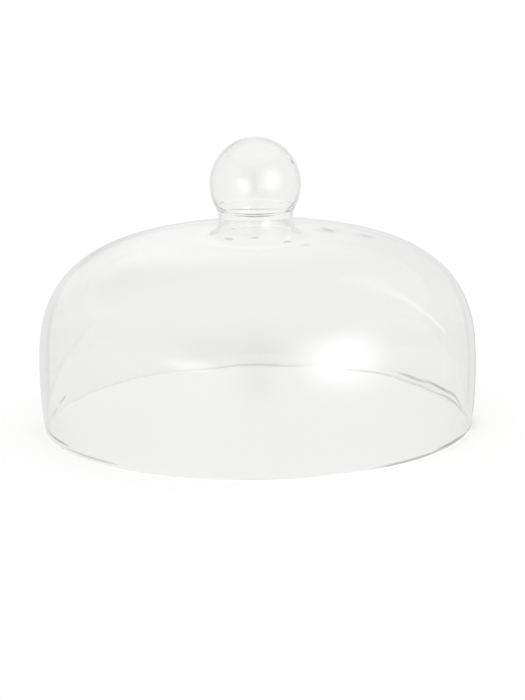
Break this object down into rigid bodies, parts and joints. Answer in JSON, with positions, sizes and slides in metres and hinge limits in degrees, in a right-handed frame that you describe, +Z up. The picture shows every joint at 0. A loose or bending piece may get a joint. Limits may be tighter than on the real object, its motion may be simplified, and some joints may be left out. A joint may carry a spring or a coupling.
{
  "type": "cake dome",
  "caption": "Clear blown glass cake dome with a rounded shoulder, a short neck and a hollow glass ball to lift it by.",
  "frame": {"origin": "centre of the rim, on the surface that the dome stands on", "axes": "+Z up along the axis of the glass, from the rim to the ball; the glass is turned, so X and Y are alike"},
  "size_m": [0.26, 0.26, 0.1729],
  "materials": {
    "bell_glass": "clear, fire-polished",
    "ring_glass": "clear, fire-polished",
    "ball_glass": "clear, fire-polished"
  },
  "bodies": {
    "root": {"bell": "bell_glass", "joining_ring": "ring_glass", "knob_ball": "ball_glass"}
  },
  "joints": []
}
